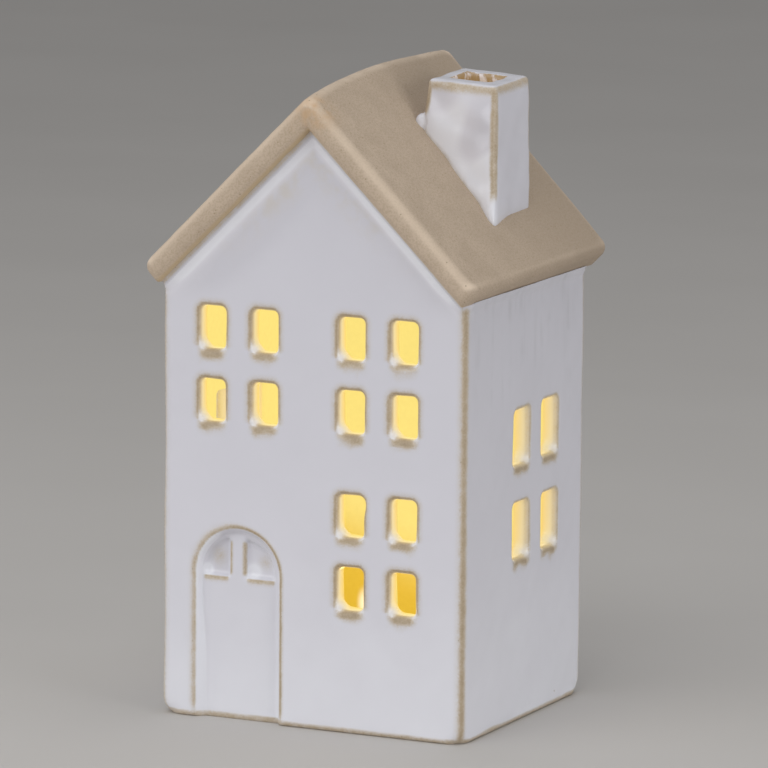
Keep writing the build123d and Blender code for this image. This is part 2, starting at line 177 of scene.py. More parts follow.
# Light of the chamber, the panes' reveals, the flue, the dome and the diode
black = (0, 0, 0, 1)
glow_low = (0.50, 0.34, 0.025, 1)
glow_high = (0.646, 0.575, 0.182, 1)
glow_patch = (0.95, 0.85, 0.55, 1)
glow_rim = (0.28, 0.23, 0.12, 1)
glow_edge = (0.38, 0.26, 0.045, 1)
flue_cool = (0.10, 0.055, 0.01, 1)
flue_warm = (0.42, 0.27, 0.05, 1)
dome_foot = (0.45, 0.26, 0.06, 1)
dome_crown = (1.0, 0.72, 0.30, 1)
diode_foot = (0.5, 0.25, 0.04, 1)
diode_crown = (1.0, 0.75, 0.33, 1)

# Lamp and floor; where a finish has two tones, the pale one comes first
white_tones = ((0.80, 0.79, 0.76, 1), (0.75, 0.74, 0.70, 1))
ring_tones = ((0.55, 0.54, 0.52, 1), (0.47, 0.46, 0.44, 1))
dark_tones = ((0.030, 0.030, 0.032, 1), (0.018, 0.018, 0.020, 1))
steel_tones = ((0.66, 0.66, 0.65, 1), (0.55, 0.55, 0.54, 1))
nickel_tones = ((0.72, 0.66, 0.52, 1), (0.60, 0.54, 0.42, 1))
screw_tones = ((0.50, 0.50, 0.50, 1), (0.36, 0.36, 0.37, 1))
case_tones = ((0.45, 0.45, 0.46, 1), (0.34, 0.34, 0.35, 1))
dome_pale = (0.86, 0.83, 0.77, 1)
dome_dark = (0.80, 0.77, 0.70, 1)
resin_pale = (0.9, 0.8, 0.5, 1)
resin_dark = (0.85, 0.72, 0.40, 1)
chip_pale = (0.03, 0.03, 0.035, 1)
chip_dark = (0.015, 0.015, 0.017, 1)
chip_end = (0.62, 0.62, 0.60, 1)
mask_green = (0.03, 0.16, 0.07, 1)
track_green = (0.06, 0.27, 0.11, 1)
floor_pale = (0.62, 0.60, 0.58, 1)
floor_dark = (0.60, 0.58, 0.56, 1)


# Meshes
class Skin:
    """Points of a mesh in millimetres, with the links between neighbours."""

    def __init__(self, mesh):
        self.mesh = mesh
        self.points = self.read(mesh.vertices, "co", 3) / mm
        self.links = self.read(mesh.edges, "vertices", 2, np.int32)
        self.degree = np.maximum(np.bincount(self.links.ravel(), minlength=len(self.points)), 1)

    @staticmethod
    def read(items, name, width, kind=np.float32):
        values = np.empty(len(items) * width, kind)
        items.foreach_get(name, values)
        return values.reshape(-1, width).astype(float if kind == np.float32 else kind)

    def averaged(self, values):
        """Mean of the values at each point's neighbours."""
        start, end = self.links.T
        count = len(self.points)
        columns = []
        for column in values.T:
            total = np.bincount(start, column[end], count) + np.bincount(end, column[start], count)
            columns.append(total / self.degree)
        return np.stack(columns, 1)

    def blurred(self, values, passes):
        for _ in range(passes):
            values = self.averaged(values)
        return values

    def relax(self, passes, inward=0.5, outward=-0.52):
        """Rounds off edges and steps without shrinking the whole."""
        for _ in range(passes):
            for share in (inward, outward):
                self.points += share * (self.averaged(self.points) - self.points)
        self.write()

    def push(self, distance):
        """Moves each point along its normal."""
        self.points += distance[:, None] * self.normals()
        self.write()

    def write(self):
        self.mesh.vertices.foreach_set("co", (self.points * mm).astype(np.float32).ravel())
        self.mesh.update()

    def normals(self):
        return self.read(self.mesh.vertex_normals, "vector", 3)

    def centres(self):
        return self.read(self.mesh.polygons, "center", 3) / mm

    def keep(self, **fields):
        """Stores values of the points as attributes for the materials."""
        for name, values in fields.items():
            attribute = self.mesh.attributes.new(name, "FLOAT", "POINT")
            attribute.data.foreach_set("value", values.astype(np.float32))


def waves(points, length, seed, count=9):
    """Smooth uneven field between about -1 and 1, made of waves near one length."""
    dice = np.random.default_rng(seed)
    field = np.zeros(len(points))
    for _ in range(count):
        way = dice.normal(size=3)
        way *= 2 * math.pi / (length * dice.uniform(0.7, 1.5) * np.linalg.norm(way))
        field += np.sin(points @ way + dice.uniform(0, 2 * math.pi))
    return field / math.sqrt(count)


def unevenness(points, layers):
    """Sum of layers of waves."""
    return sum(height * waves(points, length, seed) for height, length, seed in layers)


def step(values, low, high):
    """Soft step from 0 at low to 1 at high."""
    share = np.clip((values - low) / (high - low), 0, 1)
    return share * share * (3 - 2 * share)


def bell(points, middle, reach):
    """1 at the middle, falling off smoothly over the reach."""
    return np.exp(-(((points - middle) / reach) ** 2).sum(1))


def applied(piece):
    """Piece's mesh with its modifiers in it."""
    bpy.context.view_layer.update()
    return bpy.data.meshes.new_from_object(piece.evaluated_get(bpy.context.evaluated_depsgraph_get()))


def even_mesh(node, voxel, bead=None, radii=None):
    """CAD node's surface again, as even small quads, with a bead of glaze where one is given."""
    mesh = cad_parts[node].data.copy()
    if bead is not None:
        place = Matrix.Translation(Vector(bead) * mm) @ Matrix.Diagonal((*(mm * r for r in radii), 1))
        whole = bmesh.new()
        whole.from_mesh(mesh)
        bmesh.ops.create_icosphere(whole, subdivisions=3, radius=1.0, matrix=place)
        whole.to_mesh(mesh)
        whole.free()
    piece = bpy.data.objects.new("even", mesh)
    bpy.context.scene.collection.objects.link(piece)
    remesh = piece.modifiers.new("even", "REMESH")
    remesh.mode = "VOXEL"
    remesh.voxel_size = voxel * mm
    mesh = applied(piece)
    bpy.data.objects.remove(piece)
    return mesh


def thinned(mesh, plain, triangles):
    """Mesh with fewer triangles, taken where its surface is plain."""
    mesh.calc_loop_triangles()
    piece = bpy.data.objects.new("thinned", mesh)
    bpy.context.scene.collection.objects.link(piece)
    group = piece.vertex_groups.new(name="plain")
    group.add(np.flatnonzero(plain).tolist(), 1.0, "REPLACE")
    fewer = piece.modifiers.new("fewer", "DECIMATE")
    fewer.ratio = min(1.0, triangles / len(mesh.loop_triangles))
    fewer.vertex_group = group.name
    result = applied(piece)
    bpy.data.objects.remove(piece)
    return result


def finished_piece(name, mesh, node, finishes, choice):
    """Smooth piece that stands for a CAD node and rides with the house.
    The choice picks each face's finish."""
    mesh.materials.clear()
    for finish in finishes:
        mesh.materials.append(finish)
    mesh.polygons.foreach_set("material_index", choice.astype(np.int32))
    mesh.polygons.foreach_set("use_smooth", [True] * len(mesh.polygons))
    piece = bpy.data.objects.new(name, mesh)
    bpy.context.scene.collection.objects.link(piece)
    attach(piece, "house")
    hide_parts(node)


# Materials
class Finish:
    """Material built from nodes; its patterns are sized in millimetres."""

    def __init__(self, name, **values):
        self.material = bpy.data.materials.new(name)
        self.material.use_nodes = True
        self.tree = self.material.node_tree
        self.shader = self.tree.nodes["Principled BSDF"]
        for socket, value in values.items():
            self.shader.inputs[socket.replace("_", " ")].default_value = value
        places = self.tree.nodes.new("ShaderNodeTexCoord")
        scale = self.node("VectorMath", operation="SCALE")
        self.tree.links.new(places.outputs["Object"], scale.inputs[0])
        scale.inputs["Scale"].default_value = 1 / mm
        self.place = scale.outputs[0]

    def node(self, kind, **settings):
        node = self.tree.nodes.new("ShaderNode" + kind)
        for name, value in settings.items():
            setattr(node, name, value)
        return node

    def give(self, socket, value):
        """Links a socket to another, or sets it to a number or colour."""
        if isinstance(value, bpy.types.NodeSocket):
            self.tree.links.new(value, socket)
        else:
            socket.default_value = value

    def to(self, name, value):
        self.give(self.shader.inputs[name], value)

    def stretched(self, by):
        node = self.node("VectorMath", operation="MULTIPLY")
        self.give(node.inputs[0], self.place)
        self.give(node.inputs[1], by)
        return node.outputs[0]

    def noise(self, size, detail=2.0, place=None):
        node = self.node("TexNoise")
        self.give(node.inputs["Vector"], place or self.place)
        self.give(node.inputs["Scale"], 1 / size)
        self.give(node.inputs["Detail"], detail)
        return node.outputs["Fac"]

    def spots(self, cell, radius, share):
        """1 in small round spots, in a share of cells of that size."""
        node = self.node("TexVoronoi")
        self.give(node.inputs["Vector"], self.place)
        self.give(node.inputs["Scale"], 1 / cell)
        pick = self.node("SeparateColor")
        self.give(pick.inputs[0], node.outputs["Color"])
        chosen = self.maths("LESS_THAN", pick.outputs[0], share)
        spot = self.between(node.outputs["Distance"], radius / cell, 0.6 * radius / cell)
        return self.maths("MULTIPLY", chosen, spot)

    def maths(self, operation, first, second=0.0):
        node = self.node("Math", operation=operation)
        self.give(node.inputs[0], first)
        self.give(node.inputs[1], second)
        return node.outputs[0]

    def times(self, first, second):
        return self.maths("MULTIPLY", first, second)

    def swing(self, value, reach):
        """A value between 0 and 1 as one that swings about 0."""
        return self.times(self.maths("SUBTRACT", value, 0.5), reach)

    def between(self, value, low, high, to_low=0.0, to_high=1.0):
        node = self.node("MapRange", interpolation_type="SMOOTHSTEP")
        for name, given in zip(("Value", "From Min", "From Max", "To Min", "To Max"),
                               (value, low, high, to_low, to_high)):
            self.give(node.inputs[name], given)
        return node.outputs[0]

    def attribute(self, name):
        return self.node("Attribute", attribute_name=name).outputs["Fac"]

    def along(self, axis):
        node = self.node("SeparateXYZ")
        self.give(node.inputs[0], self.place)
        return node.outputs[axis]

    def ramp(self, value, *stops):
        node = self.node("ValToRGB")
        ramp = node.color_ramp
        while len(ramp.elements) < len(stops):
            ramp.elements.new(0.5)
        for element, (position, colour) in zip(ramp.elements, stops):
            element.position = position
            element.color = colour
        self.give(node.inputs[0], value)
        return node.outputs["Color"]

    def mix(self, share, first, second):
        node = self.node("Mix", data_type="RGBA")
        self.give(node.inputs["Factor"], share)
        self.give(node.inputs[6], first)
        self.give(node.inputs[7], second)
        return node.outputs[2]

    def bump(self, *layers):
        """Relief from pairs of a height between 0 and 1 and its depth."""
        normal = None
        for height, depth in layers:
            node = self.node("Bump")
            self.give(node.inputs["Height"], height)
            self.give(node.inputs["Distance"], depth * mm)
            if normal:
                self.give(node.inputs["Normal"], normal)
            normal = node.outputs[0]
        self.to("Normal", normal)


def glazed_stoneware():
    """Glossy white glaze that thins to clay where the wear attribute rises, which also paints shadow round
    the panes and door; the shade attribute paints pooled glaze and highlights whiter and shade greyer, and
    glow paints the lamp's light on the panes' reveals.
    """
    finish = Finish("glazed_stoneware", IOR=1.5, Emission_Strength=1.0)
    fine = finish.noise(0.5, 3.0)
    broad = finish.noise(2.6, 3.0)
    streak = finish.noise(2.6, 4.0, finish.stretched((1, 1, 0.07)))
    # Wear: clay where the glaze is thin, a mark that round the panes and door also paints shadow
    bare = finish.attribute("bare")
    ragged = finish.maths("ADD", finish.swing(fine, 0.40), finish.swing(broad, 0.35))
    bare = finish.maths("ADD", bare, finish.times(ragged, finish.between(bare, 0.05, 0.5)))
    cloud = finish.swing(finish.noise(18.0, 2.0), 0.2)
    # Painted light: pooled glaze and painted highlights whiter, painted shade greyer
    shade = finish.maths("ADD", finish.attribute("shade"), cloud)
    white = finish.ramp(shade, (0.0, glaze_pool_highlight), (0.3, glaze_white), (1.0, glaze_shade))
    patchy = finish.times(finish.attribute("runs"), finish.between(finish.noise(11.0), 0.42, 0.66))
    runs = finish.times(patchy, finish.between(streak, 0.40, 0.74))
    white = finish.mix(finish.times(runs, 0.42), white, glaze_run)
    thin = finish.times(finish.attribute("thin"), finish.between(finish.noise(5.0, 3.0), 0.34, 0.72))
    white = finish.mix(finish.times(thin, 0.5), white, glaze_thin)
    clay = finish.ramp(bare, (0.15, glaze_thin), (0.55, clay_tan), (1.0, clay_brown))
    colour = finish.mix(finish.between(bare, 0.05, 0.75), white, clay)
    specks = finish.times(finish.spots(1.5, 0.2, 0.3), finish.between(bare, 0.3, 0.5))
    colour = finish.mix(finish.times(specks, 0.7), colour, clay_brown)
    colour = finish.mix(finish.times(finish.spots(9.0, 0.3, 0.06), 0.75), colour, clay_brown)
    glow = finish.attribute("glow")
    # Painted lamp light on the panes' reveals: a warm base colour with emission
    finish.to("Base Color", finish.mix(glow, colour, glaze_lamplit))
    finish.to("Emission Color", finish.ramp(glow, (0.0, black), (0.6, glow_rim), (1.0, glow_edge)))
    finish.to("Roughness", finish.between(bare, 0.3, 0.9, 0.17, 0.5))
    finish.bump((broad, 0.02), (fine, 0.008))
    return finish.material


def lit_chamber():
    """Inside of the shell: clay that the lamp fills with warm light."""
    finish = Finish("lit_chamber", Roughness=0.7, Emission_Strength=1.0)
    grain = finish.noise(1.6, 4.0)
    lean = finish.maths("ADD", finish.along("Z"), finish.times(finish.along("X"), 0.35))
    glow = finish.ramp(finish.between(lean, *chamber_glow), (0.0, glow_low), (1.0, glow_high))
    away = finish.node("VectorMath", operation="DISTANCE")
    finish.give(away.inputs[0], finish.stretched(patch_stretch))
    finish.give(away.inputs[1], [place * by for place, by in zip(lens_patch, patch_stretch)])
    finish.to("Base Color", finish.ramp(grain, (0.3, chamber_dark), (0.7, chamber_clay)))
    patch = finish.between(away.outputs["Value"], patch_radius, 0.2 * patch_radius)
    finish.to("Emission Color", finish.mix(patch, glow, glow_patch))
    finish.bump((grain, 0.06))
    return finish.material


def lit_flue():
    """Inside of the chimney: brown clay with runs of white glaze, lit from below."""
    finish = Finish("lit_flue", Roughness=0.3, Emission_Strength=1.0)
    drips = finish.between(finish.noise(2.2, 3.0, finish.stretched((1, 1, 0.45))), 0.46, 0.62)
    finish.to("Base Color", finish.mix(drips, clay_brown, glaze_white))
    warm = finish.between(finish.along("Z"), *flue_glow)
    finish.to("Emission Color", finish.mix(warm, flue_cool, flue_warm))
    finish.bump((drips, 0.3))
    return finish.material


def bare_stoneware():
    """Unglazed clay: fine speckle, pale edges from wear with a painted highlight, painted shade towards the
    back, and a rusty bloom at the ridge.
    """
    finish = Finish("bare_stoneware", Specular_IOR_Level=0.25)
    grain = finish.noise(0.5, 4.0)
    body = finish.ramp(finish.noise(7.0, 4.0), (0.3, clay_dark), (0.72, clay_roof))
    # Painted shade: darker towards the back
    body = finish.mix(finish.between(finish.along("Y"), -36.0, 42.0), body, clay_back_shade)
    body = finish.mix(finish.between(grain, 0.60, 0.34, 0.0, 0.40), body, clay_brown)
    # Pale edges: wear with a painted highlight
    body = finish.mix(finish.times(finish.attribute("bare"), 0.9), body, clay_worn_highlight)
    rust = finish.times(finish.attribute("thin"), finish.between(finish.noise(2.5, 4.0), 0.25, 0.70))
    body = finish.mix(finish.times(rust, 0.85), body, clay_rust)
    body = finish.mix(finish.times(finish.attribute("runs"), 0.6), body, clay_gold)
    body = finish.mix(finish.times(finish.spots(1.7, 0.26, 0.4), 0.75), body, clay_brown)
    finish.to("Base Color", body)
    finish.to("Roughness", finish.between(grain, 0.3, 0.7, 0.78, 0.95))
    finish.bump((finish.noise(6.0, 2.0), 0.12), (grain, 0.06))
    return finish.material


def moulded(name, colour, dark, roughness, grain_size=0.25):
    """Moulded plastic: fine satin texture with a little unevenness."""
    finish = Finish(name)
    grain = finish.noise(grain_size, 2.0)
    finish.to("Base Color", finish.ramp(finish.noise(6.0, 3.0), (0.25, dark), (0.75, colour)))
    finish.to("Roughness", finish.between(grain, 0.3, 0.7, roughness - 0.06, roughness + 0.08))
    finish.bump((grain, 0.01))
    return finish.material


def milky_plastic():
    """Milky cap, brightest over the diode."""
    finish = Finish("milky_plastic", Roughness=0.35, Emission_Strength=2.2)
    height = finish.between(finish.along("Z"), *dome_glow)
    cloud = finish.noise(2.0, 2.0)
    finish.to("Base Color", finish.ramp(cloud, (0.3, dome_dark), (0.7, dome_pale)))
    finish.to("Emission Color", finish.ramp(height, (0.0, dome_foot), (1.0, dome_crown)))
    finish.bump((finish.noise(0.3, 2.0), 0.008))
    return finish.material


def worked_metal(name, colour, dark, roughness, stretch=(1, 1, 1)):
    """Rolled or stamped metal with fine drawn lines."""
    finish = Finish(name, Metallic=1.0)
    lines = finish.noise(0.12, 3.0, finish.stretched(stretch))
    finish.to("Base Color", finish.ramp(finish.noise(1.5, 3.0), (0.3, dark), (0.7, colour)))
    finish.to("Roughness", finish.between(lines, 0.3, 0.7, roughness, roughness + 0.18))
    finish.bump((lines, 0.004))
    return finish.material


def board_laminate():
    """Glass-cloth laminate with a solder mask over broad copper tracks."""
    finish = Finish("board_laminate", Roughness=0.35, Coat_Weight=0.3)
    weave = finish.node("TexWave", wave_profile="SIN")
    finish.give(weave.inputs["Vector"], finish.place)
    finish.give(weave.inputs["Scale"], 0.9)
    finish.give(weave.inputs["Distortion"], 2.0)
    tracks = finish.between(weave.outputs["Fac"], 0.45, 0.55)
    finish.to("Base Color", finish.mix(tracks, mask_green, track_green))
    finish.bump((tracks, 0.03))
    return finish.material


def chip_finish():
    """Black chip with tinned ends, told apart by their place along the part."""
    finish = Finish("resistor_body", Roughness=0.4)
    low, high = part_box("resistor")
    middle = (low.y + high.y) / 2 / mm
    end = (high.y - low.y) / 2 / mm
    away = finish.maths("ABSOLUTE", finish.maths("SUBTRACT", finish.along("Y"), middle))
    tin = finish.between(away, end - 0.55, end - 0.45)
    mottled = finish.ramp(finish.noise(0.3), (0.3, chip_dark), (0.7, chip_pale))
    finish.to("Base Color", finish.mix(tin, mottled, chip_end))
    finish.to("Metallic", tin)
    return finish.material


def diode_lens():
    """Clear yellow resin with the lit die deep inside."""
    finish = Finish("led_lens", Roughness=0.08, IOR=1.53, Emission_Strength=6.0)
    low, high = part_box("led")
    height = finish.between(finish.along("Z"), low.z / mm, high.z / mm)
    cloud = finish.noise(1.5)
    finish.to("Base Color", finish.ramp(cloud, (0.3, resin_dark), (0.7, resin_pale)))
    finish.to("Emission Color", finish.ramp(height, (0.0, diode_foot), (1.0, diode_crown)))
    return finish.material


# Places on the house. Limits of a soft step are in millimetres, and factors are shares of full wear,
# light or depth; both were tuned against the photograph.
def below_roof(points):
    """Distance of each point from the roof's underside."""
    underside = gable_apex - np.abs(points[:, 0]) * math.tan(roof_pitch)
    return (underside - points[:, 2]) * math.cos(roof_pitch)


def into_roof(points):
    """Short step up into the roof slab, which closes the seam under it."""
    side = np.sign(points[:, 0]) * math.sin(roof_pitch)
    level = np.zeros(len(points))
    rise = np.full(len(points), math.cos(roof_pitch))
    return seam_overlap * np.stack([side, level, rise], 1)


def within_walls(points):
    """Points on the inner side of the walls, in the chamber or in the hollow of the foot."""
    x, y, _ = points.T
    return (np.abs(x) < half_width - wall + face_slack) & (np.abs(y) < half_depth - wall + face_slack)


def in_front_wall(points):
    """Points of the front wall, its panes and door included."""
    return points[:, 1] < -half_depth + wall


def in_side_wall(points):
    """Points of the left and right walls, their panes included."""
    return np.abs(points[:, 0]) > half_width - wall - wall_slack


def in_chamber(points):
    """Points that face the lit chamber."""
    return within_walls(points) & (points[:, 2] > floor_top - face_slack)


def in_flue(points):
    """Points on the walls of the flue."""
    away = np.abs(points[:, :2] - chimney_middle) - flue_half
    return away.max(1) < flue_slack


def rounded_gap(u, v, half_u, half_v, radius):
    """Signed distance outside a rounded rectangle."""
    over_u = np.abs(u) - half_u + radius
    over_v = np.abs(v) - half_v + radius
    corner = np.hypot(np.maximum(over_u, 0), np.maximum(over_v, 0))
    return corner + np.minimum(np.maximum(over_u, over_v), 0) - radius


def arch_gap(u, v, spring, half):
    """Signed distance outside an outline with upright sides and a half-round head."""
    return np.where(v < spring, np.abs(u), np.hypot(u, v - spring)) - half


def pane_fields(points):
    """Nearest pane of each point: the gap outside its outline, the place across it from -1 to 1,
    the height above its sill and the depth in the wall."""
    x, y, z = points.T
    walls = {"front": (x, half_depth + y), "right": (y, half_width - x), "left": (y, half_width + x)}
    gap, across, above, depth = np.full((4, len(points)), 99.0)
    for name, middle, height, (width, tall, pitch_across, pitch_up) in windows:
        along, behind = walls[name]
        u = along - middle
        u = u - np.copysign(pitch_across / 2, u)
        v = z - height
        v = v - np.copysign(pitch_up / 2, v)
        here = rounded_gap(u, v, width / 2, tall / 2, pane_radius)
        nearer = (here < gap) & (np.abs(behind - wall / 2) < wall / 2 + wall_slack)
        found = ((gap, here), (across, 2 * u / width), (above, v + tall / 2), (depth, behind))
        for field, value in found:
            field[nearer] = value[nearer]
    return gap, across, above, depth


def is_plain(points):
    """Points of the shell away from its rims, edges, door and coves."""
    x, y, z = points.T
    rim = np.abs(pane_fields(points)[0]) < 2.6
    corner = (np.abs(x) > half_width - 3) & (np.abs(y) > half_depth - 3)
    door = in_front_wall(points) & (arch_gap(x - door_x, z, door_spring, door_half) < 2)
    return in_chamber(points) | ~(rim | corner | door | (z < 2.5) | (below_roof(points) < 5))


def door_wear_and_shadow(points):
    """Clay that shows round the door and its lights, with painted shadow at the door's right edge, under
    the sills and by the muntin.
    """
    x, _, z = points.T
    u = x - door_x
    gap = arch_gap(u, z, door_spring, door_half)
    # The line at the door's right edge is darker and narrower: painted shadow
    left = step(-u, -4.0, 8.0)
    core = (0.46 - 0.22 * left) * step(gap, 0.9 + 0.7 * left, 0.1)
    halo = 0.34 * step(gap, 2.2 + 1.5 * left, 0.2)
    band = step(gap, -0.6, -0.1) * (core + halo) * (0.55 + 0.45 * step(z, 1.0, 5.0))
    drop = light_sill - z
    # Under the lights' sills: thin glaze with painted shadow
    sill = step(drop, -0.3, 0.1) * (0.3 * step(drop, 3.4, 0.4) + 0.4 * step(drop, 1.6, 0.2))
    sill *= step(np.abs(u), muntin_half - 0.2, muntin_half + 1.2)
    sill *= step(np.abs(u), light_half + 0.6, light_half - 0.4)
    # Line beside the muntin: thin glaze with painted shadow
    muntin = 0.62 * step(np.abs(np.abs(u) - muntin_half + 0.2), 0.9, 0.3) * step(drop, 0.0, -1.5)
    muntin *= step(arch_gap(u, z, door_spring, light_half), -0.3, -2.0)
    flat = np.stack([u, z], 1)
    smudge = 0.42 * bell(flat, (-6.0, light_sill + 5.3), (2.6, 3.4))
    smudge += 0.38 * bell(flat, (7.2, light_sill + 4.8), (2.2, 2.8))
    wear = np.max([band, sill, muntin, smudge], axis=0)
    return wear * in_front_wall(points)


def house_wear_and_shadow(points):
    """Clay that shows through the glaze, from 0 to 1, with painted shadow round the panes and along the
    left corners.
    """
    x, y, z = points.T
    gap, across, above, depth = pane_fields(points)
    lip = np.maximum(step(gap, 0.0, 0.55), 0.8 * step(depth, 2.4, 0.7))
    at_side = in_side_wall(points)
    # Brown line of thin glaze at each pane's rim, and round it a wider soft halo of painted shadow
    core = np.where(at_side, 0.46, 0.40) * step(gap, 1.3, 0.6)
    rim = lip * (core + np.where(at_side, 0.22, 0.40) * step(gap, 3.6, 0.8))
    rim *= step(above, -0.6, 1.2)
    drip = above + 0.5 * waves(points, 5.0, 6)
    sill = 0.50 * step(drip, -5.0, -1.4) + 0.30 * step(drip, -2.8, -0.9)
    sill *= step(above, 1.0, 0.2) * step(depth, 2.6, 1.0)
    sill *= step(np.abs(across), 1.6, 0.5)
    inset_x = half_width - np.abs(x)
    inset_y = half_depth - np.abs(y)
    # Clay along the wall corners; at the left side it is weaker and stands in for painted shade
    corner = 0.40 * step(inset_x, 4.2, 0.6) * step(inset_y, 4.6, 0.6)
    corner += 0.42 * step(inset_x, 1.7, 0.3) * step(inset_y, 2.4, 0.4)
    corner *= step(z, eave_height + 1.0, eave_height - 2.0) * np.where(x > 0, 1.0, 0.7)
    foot = 0.6 * step(z + 0.2 * waves(points, 16.0, 5), 2.2, 0.9)
    seam = 0.5 * step(below_roof(points), 1.3, 0.5) * (np.abs(y) > half_depth + 0.5)
    under = 0.6 * within_walls(points)
    panes = np.maximum(rim, sill) * (1 - 0.8 * pane_pools_and_glints(points))
    wear = np.max([panes, corner, foot, seam, under, door_wear_and_shadow(points)], axis=0)
    return np.where(in_chamber(points), 0, wear)


def pane_pools_and_glints(points):
    """Lower corners of the panes, where the glaze ran together and a painted highlight is laid."""
    gap, across, above, depth = pane_fields(points)
    pool = bell(np.stack([np.abs(across), above], 1), (1.0, 0.5), (0.5, 2.2))
    strength = np.where(in_side_wall(points), 0.65, 0.85)
    return strength * pool * step(gap, 1.0, 0.3) * step(depth, 4.8, 3.0)


def door_lights(points):
    """1 on the door's lights and on the muntin between them, falling to 0 at the door's outline."""
    x, _, z = points.T
    u = x - door_x
    spread = step(u, 9.5, 3.0) * step(arch_gap(u, z, door_spring, door_half), -0.6, -2.6)
    return spread * step(z, light_sill - 24, light_sill - 3) * in_front_wall(points)


def pane_burr(points):
    """1 at the outer edge of the back jamb of the left wall's panes. That window's place is guessed, and
    a burr there keeps the background from showing through it in the photograph's view."""
    gap, across, _, depth = pane_fields(points)
    burr = step(across, 0.7, 0.95) * step(depth, 2.2, 0.5) * step(gap, 3.0, 1.3)
    return burr * (points[:, 0] < -half_width + wall)


def pane_fill(points):
    """Shift that rounds one lower corner of each pane with glaze, and that makes one pane's edge wavy."""
    gap, across, above, depth = pane_fields(points)
    near = step(gap, 2.2, 0.6)
    at_side = in_side_wall(points)
    half = np.where(at_side, side_panes[0], front_panes[0]) / 2
    over = np.maximum((np.abs(across) - 1) * half + fill_radius, 0)
    under = np.maximum(fill_radius - above, 0)
    away = np.maximum(np.hypot(over, under), 0.01)
    filled = np.clip(away - fill_radius - gap, 0, 1) * step(depth, 0.4, 2.4) * near
    filled *= (over > 0) & (under > 0)
    filled *= np.where(at_side, across > 0, across < 0)
    inward = -np.sign(across) * filled * over / away
    wavy = wavy_reach * bell(points, wavy_edge, wavy_spread) * near
    shift_x = np.where(at_side, 0, inward) + wavy
    shift_y = np.where(at_side, inward, 0)
    return np.stack([shift_x, shift_y, filled * under / away], 1)


def foot_corners(points):
    """1 at the four lower corners of the walls, falling off along the edges that meet there."""
    x, y, z = points.T
    inset = half_width - np.abs(x) + half_depth - np.abs(y)
    return step(inset, 6.0, 0.0) * np.clip(1 - z / foot_radius, 0, 1) ** 2


def glaze_pools_and_painted_light(points):
    """Shade of the glaze, painted light apart from some real pooling: below 0 where it pooled white at
    lower corners of the panes and of the door's lights and along the cove, with a painted highlight there,
    and a painted highlight on the door's slope; above 0 for painted shade in the groove, in the hollow of
    the door's left light and left under the gable."""
    x, _, z = points.T
    u = x - door_x
    corner = pane_pools_and_glints(points)
    flat = np.stack([u, z], 1)
    # Pooled glaze with a painted highlight at the lower corners of the door's lights
    lights = bell(flat, (-9.2, light_sill + 1.6), (1.2, 1.5))
    lights += bell(flat, (4.1, light_sill + 2.0), (1.5, 1.7))
    # Painted highlight on the door's left slope
    inward = -arch_gap(u, z, door_spring, door_half)
    slope = step(inward, 0.1, 0.5) * step(inward, 2.6, 1.6) * step(-u, 4.0, 9.0)
    at_front = in_front_wall(points)
    drop = below_roof(points)
    gable = step(z, eave_height - 6, eave_height + 4)
    # Glaze pooled in the cove under the gable, with a painted highlight
    cove = step(drop, 0.9, 1.6) * step(drop, 5.2, 2.8) * gable
    # Painted shade in the groove under the roof
    groove = 0.4 * step(drop, 0.4, 0.7) * step(drop, 1.3, 0.9) * (z > eave_height)
    # Soft painted shade under the cove, on the left
    below = 0.3 * step(drop, 5.0, 7.0) * step(drop, 17.0, 8.0) * gable
    below *= step(x, 14.0, -14.0)
    # Painted shade in the hollow of the door's left light
    hollow = 0.6 * bell(flat, (-6.0, light_sill + 5.3), (2.8, 3.6)) * at_front
    pools_and_glints = np.max([corner, *(at_front * pool for pool in (lights, slope, cove))], axis=0)
    return groove + hollow + at_front * below - 0.85 * pools_and_glints


# Pieces
def shell_skin():
    """CAD shell as an even mesh with uneven faces that reaches into the roof, thinned where it is plain."""
    mesh = even_mesh("house_body", house_voxel)
    skin = Skin(mesh)
    skin.relax(slab_passes)
    fixed = in_chamber(skin.points) | (skin.points[:, 2] < 2)
    skin.push(np.where(fixed, 0, unevenness(skin.points, house_waves)))
    seat = step(below_roof(skin.points), 1.6, 0.3) * ~in_chamber(skin.points)
    skin.points += seat[:, None] * into_roof(skin.points)
    skin.write()
    return Skin(thinned(mesh, is_plain(skin.points), shell_triangles))


def shell_shift(points):
    """Small moves of the shell's points at the panes, the door's lights and the foot's corners."""
    x, y, z = points.T
    moved = pane_fill(points)
    moved[:, 0] -= lights_shift * door_lights(points)
    moved[:, 1] -= burr_reach * pane_burr(points)
    rounded = foot_rounding * foot_corners(points)
    moved += rounded[:, None] * np.stack([-np.sign(x), -np.sign(y), 0.3 * (z < 1.5)], 1)
    return moved


